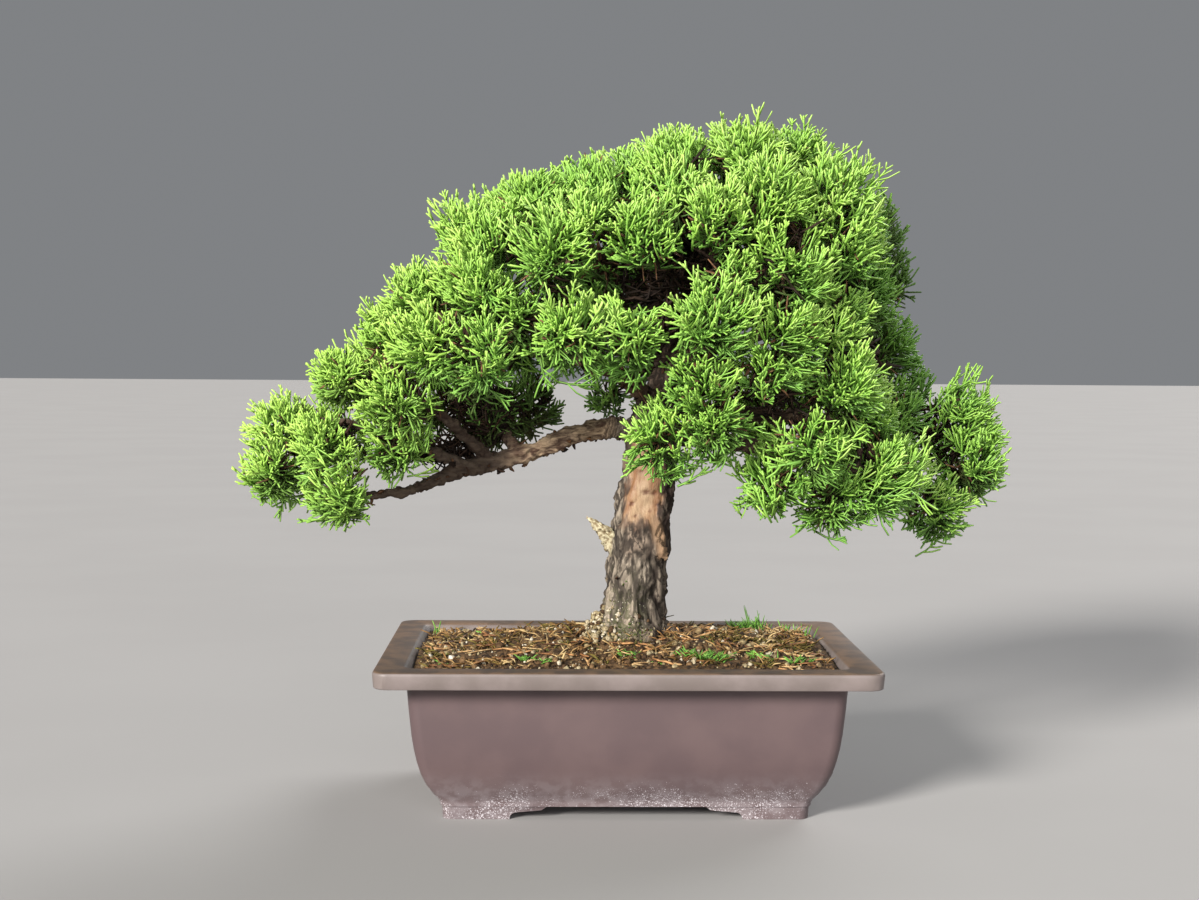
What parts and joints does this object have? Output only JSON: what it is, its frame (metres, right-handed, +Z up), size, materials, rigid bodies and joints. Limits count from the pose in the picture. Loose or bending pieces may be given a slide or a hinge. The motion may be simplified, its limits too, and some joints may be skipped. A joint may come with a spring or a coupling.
{
  "type": "bonsai juniper in pot",
  "caption": "Informal upright juniper bonsai with a dense sprayed crown over a thick bare trunk, planted in soil in a low rectangular lipped pot on short feet.",
  "frame": {"origin": "centre of the whole plant's bounding box, on the surface that the pot's feet stand on", "axes": "+X to the right along the pot's long side as seen from the tree's front, +Y from the front to the back, +Z up the trunk"},
  "size_m": [0.4518, 0.2784, 0.4067],
  "materials": {
    "pot_plastic": "satin",
    "net_plastic": "matte",
    "soil": "matte",
    "bark": "matte",
    "foliage": "satin"
  },
  "bodies": {
    "root": {"pot": "pot_plastic", "drain_net_left": "net_plastic", "drain_net_right": "net_plastic", "soil": "soil", "tree_wood": "bark", "spray_left_tip": "foliage", "spray_left_front": "foliage", "spray_left_shoulder": "foliage", "spray_left_rise": "foliage", "spray_left_heart": "foliage", "spray_middle_left": "foliage", "spray_middle_left_upper": "foliage", "spray_upper_left_end": "foliage", "spray_upper_left_top": "foliage", "spray_upper_left_front": "foliage", "spray_upper_centre": "foliage", "spray_upper_hollow": "foliage", "spray_centre_left": "foliage", "spray_centre_front": "foliage", "spray_centre_low": "foliage", "spray_low_front": "foliage", "spray_crown_left": "foliage", "spray_crown_top": "foliage", "spray_crown_front": "foliage", "spray_crown_right": "foliage", "spray_right_upper_front": "foliage", "spray_right_middle": "foliage", "spray_right_front": "foliage", "spray_right_shoulder": "foliage", "spray_right_low_front": "foliage", "spray_right_low_end": "foliage", "spray_right_hanging": "foliage", "spray_right_far": "foliage", "spray_right_far_back": "foliage", "spray_right_rear_wall": "foliage", "spray_left_back_inner": "foliage", "spray_back_small": "foliage", "spray_back_crown_left": "foliage", "spray_back_crown_right": "foliage", "spray_back_upper_left_end": "foliage", "spray_back_upper_middle": "foliage", "spray_back_upper_right": "foliage", "spray_back_left_end": "foliage", "spray_back_left_middle": "foliage", "spray_back_middle": "foliage", "spray_back_right_end": "foliage", "spray_back_left_low": "foliage", "spray_back_left_inner": "foliage", "spray_back_left_under": "foliage", "spray_back_low_middle": "foliage", "spray_back_under_right": "foliage", "spray_back_right_tip": "foliage", "spray_back_right_under": "foliage", "spray_back_left_tip": "foliage", "spray_upper_throat": "foliage", "spray_right_throat": "foliage", "spray_left_throat": "foliage", "spray_top_ridge": "foliage", "spray_crown_ridge": "foliage", "spray_right_inner": "foliage"}
  },
  "joints": []
}
